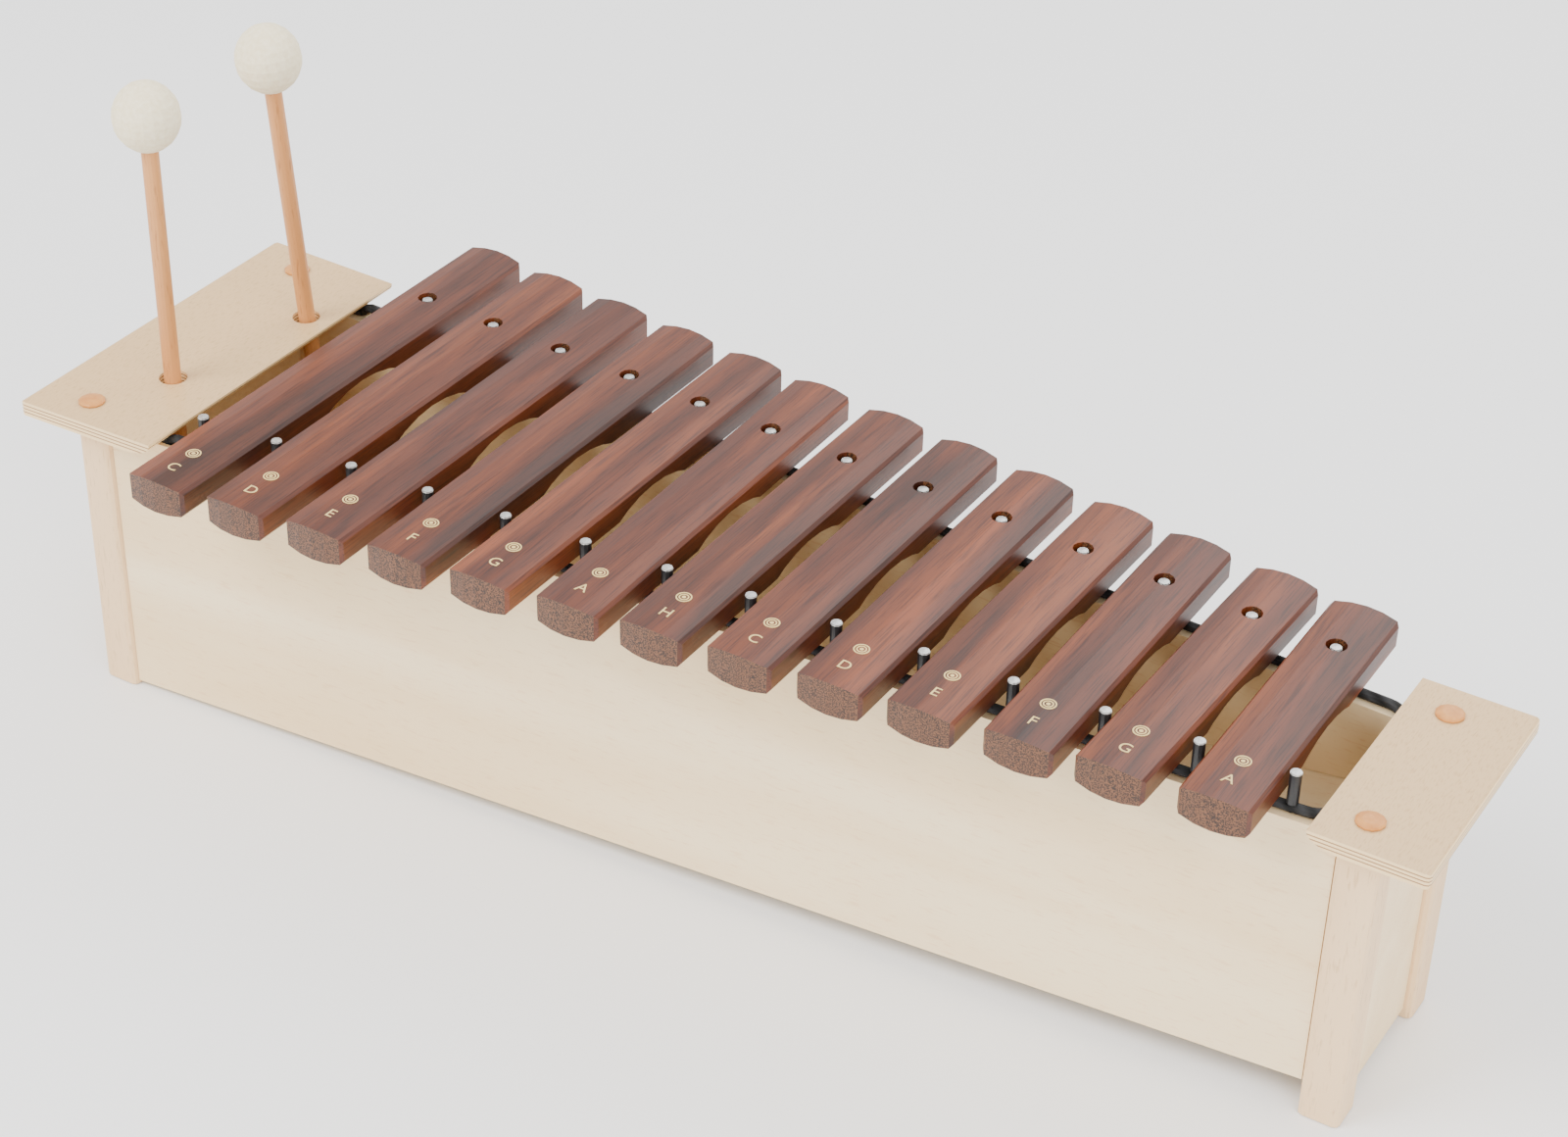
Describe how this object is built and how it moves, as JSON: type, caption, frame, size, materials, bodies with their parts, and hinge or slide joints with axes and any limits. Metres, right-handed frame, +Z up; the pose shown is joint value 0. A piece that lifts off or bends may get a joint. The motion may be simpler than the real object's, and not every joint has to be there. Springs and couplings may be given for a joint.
{
  "type": "soprano xylophone",
  "caption": "Soprano xylophone: tuned wooden bars on a tapering box resonator with end cover plates, nails with sleeves, a rope and two mallets.",
  "frame": {"origin": "on the floor under the middle of the instrument", "axes": "+X towards the high notes, +Y away from the player, +Z up"},
  "size_m": [0.6572, 0.245, 0.297],
  "materials": {
    "bar_01": "oiled",
    "bar_02": "oiled",
    "bar_03": "oiled",
    "bar_04": "oiled",
    "bar_05": "oiled",
    "bar_06": "oiled",
    "bar_07": "oiled",
    "bar_08": "oiled",
    "bar_09": "oiled",
    "bar_10": "oiled",
    "bar_11": "oiled",
    "bar_12": "oiled",
    "bar_13": "oiled",
    "front_pin_01": "satin",
    "front_pin_02": "satin",
    "front_pin_03": "satin",
    "front_pin_04": "satin",
    "front_pin_05": "satin",
    "front_pin_06": "satin",
    "front_pin_07": "satin",
    "front_pin_08": "satin",
    "front_pin_09": "satin",
    "front_pin_10": "satin",
    "front_pin_11": "satin",
    "front_pin_12": "satin",
    "front_pin_13": "satin",
    "front_pin_14": "satin",
    "rear_pin_01": "satin",
    "rear_pin_02": "satin",
    "rear_pin_03": "satin",
    "rear_pin_04": "satin",
    "rear_pin_05": "satin",
    "rear_pin_06": "satin",
    "rear_pin_07": "satin",
    "rear_pin_08": "satin",
    "rear_pin_09": "satin",
    "rear_pin_10": "satin",
    "rear_pin_11": "satin",
    "rear_pin_12": "satin",
    "rear_pin_13": "satin",
    "board_front": "lacquered",
    "board_rear": "lacquered",
    "board_low_end": "lacquered",
    "board_high_end": "lacquered",
    "resonator_floor": "raw",
    "post_low_front": "lacquered",
    "post_low_rear": "lacquered",
    "post_high_front": "lacquered",
    "post_high_rear": "lacquered",
    "cover_plate_low": "lacquered",
    "cover_plate_high": "lacquered",
    "screw_cap_low_front": "satin",
    "screw_cap_low_rear": "satin",
    "screw_cap_high_front": "satin",
    "screw_cap_high_rear": "satin",
    "bar_rope": "twisted",
    "mallet_shaft_front": "lacquered",
    "mallet_shaft_rear": "lacquered",
    "mallet_head_front": "felt",
    "mallet_head_rear": "felt"
  },
  "bodies": {
    "sound_box": {"board_front": "board_front", "board_rear": "board_rear", "board_low_end": "board_low_end", "board_high_end": "board_high_end", "resonator_floor": "resonator_floor", "post_low_front": "post_low_front", "post_low_rear": "post_low_rear", "post_high_front": "post_high_front", "post_high_rear": "post_high_rear", "cover_plate_low": "cover_plate_low", "cover_plate_high": "cover_plate_high", "screw_cap_low_front": "screw_cap_low_front", "screw_cap_low_rear": "screw_cap_low_rear", "screw_cap_high_front": "screw_cap_high_front", "screw_cap_high_rear": "screw_cap_high_rear", "bar_rope": "bar_rope", "front_pin_01": "front_pin_01", "front_pin_02": "front_pin_02", "front_pin_03": "front_pin_03", "front_pin_04": "front_pin_04", "front_pin_05": "front_pin_05", "front_pin_06": "front_pin_06", "front_pin_07": "front_pin_07", "front_pin_08": "front_pin_08", "front_pin_09": "front_pin_09", "front_pin_10": "front_pin_10", "front_pin_11": "front_pin_11", "front_pin_12": "front_pin_12", "front_pin_13": "front_pin_13", "front_pin_14": "front_pin_14", "rear_pin_01": "rear_pin_01", "rear_pin_02": "rear_pin_02", "rear_pin_03": "rear_pin_03", "rear_pin_04": "rear_pin_04", "rear_pin_05": "rear_pin_05", "rear_pin_06": "rear_pin_06", "rear_pin_07": "rear_pin_07", "rear_pin_08": "rear_pin_08", "rear_pin_09": "rear_pin_09", "rear_pin_10": "rear_pin_10", "rear_pin_11": "rear_pin_11", "rear_pin_12": "rear_pin_12", "rear_pin_13": "rear_pin_13"},
    "bar_01_body": {"bar_01": "bar_01"},
    "bar_02_body": {"bar_02": "bar_02"},
    "bar_03_body": {"bar_03": "bar_03"},
    "bar_04_body": {"bar_04": "bar_04"},
    "bar_05_body": {"bar_05": "bar_05"},
    "bar_06_body": {"bar_06": "bar_06"},
    "bar_07_body": {"bar_07": "bar_07"},
    "bar_08_body": {"bar_08": "bar_08"},
    "bar_09_body": {"bar_09": "bar_09"},
    "bar_10_body": {"bar_10": "bar_10"},
    "bar_11_body": {"bar_11": "bar_11"},
    "bar_12_body": {"bar_12": "bar_12"},
    "bar_13_body": {"bar_13": "bar_13"},
    "mallet_front": {"mallet_shaft_front": "mallet_shaft_front", "mallet_head_front": "mallet_head_front"},
    "mallet_rear": {"mallet_shaft_rear": "mallet_shaft_rear", "mallet_head_rear": "mallet_head_rear"}
  },
  "joints": [
    {"name": "bar_01_lift", "type": "slide", "parent": "sound_box", "child": "bar_01_body", "axis": [0, 0, 1], "range_m": [0, 0.03]},
    {"name": "bar_02_lift", "type": "slide", "parent": "sound_box", "child": "bar_02_body", "axis": [0, 0, 1], "range_m": [0, 0.03]},
    {"name": "bar_03_lift", "type": "slide", "parent": "sound_box", "child": "bar_03_body", "axis": [0, 0, 1], "range_m": [0, 0.03]},
    {"name": "bar_04_lift", "type": "slide", "parent": "sound_box", "child": "bar_04_body", "axis": [0, 0, 1], "range_m": [0, 0.03]},
    {"name": "bar_05_lift", "type": "slide", "parent": "sound_box", "child": "bar_05_body", "axis": [0, 0, 1], "range_m": [0, 0.03]},
    {"name": "bar_06_lift", "type": "slide", "parent": "sound_box", "child": "bar_06_body", "axis": [0, 0, 1], "range_m": [0, 0.03]},
    {"name": "bar_07_lift", "type": "slide", "parent": "sound_box", "child": "bar_07_body", "axis": [0, 0, 1], "range_m": [0, 0.03]},
    {"name": "bar_08_lift", "type": "slide", "parent": "sound_box", "child": "bar_08_body", "axis": [0, 0, 1], "range_m": [0, 0.03]},
    {"name": "bar_09_lift", "type": "slide", "parent": "sound_box", "child": "bar_09_body", "axis": [0, 0, 1], "range_m": [0, 0.03]},
    {"name": "bar_10_lift", "type": "slide", "parent": "sound_box", "child": "bar_10_body", "axis": [0, 0, 1], "range_m": [0, 0.03]},
    {"name": "bar_11_lift", "type": "slide", "parent": "sound_box", "child": "bar_11_body", "axis": [0, 0, 1], "range_m": [0, 0.03]},
    {"name": "bar_12_lift", "type": "slide", "parent": "sound_box", "child": "bar_12_body", "axis": [0, 0, 1], "range_m": [0, 0.03]},
    {"name": "bar_13_lift", "type": "slide", "parent": "sound_box", "child": "bar_13_body", "axis": [0, 0, 1], "range_m": [0, 0.03]},
    {"name": "mallet_front_pull", "type": "slide", "parent": "sound_box", "child": "mallet_front", "axis": [0, 0, 1], "range_m": [0, 0.15]},
    {"name": "mallet_rear_pull", "type": "slide", "parent": "sound_box", "child": "mallet_rear", "axis": [-0.0384, -0.0558, 0.9977], "range_m": [0, 0.15]}
  ]
}
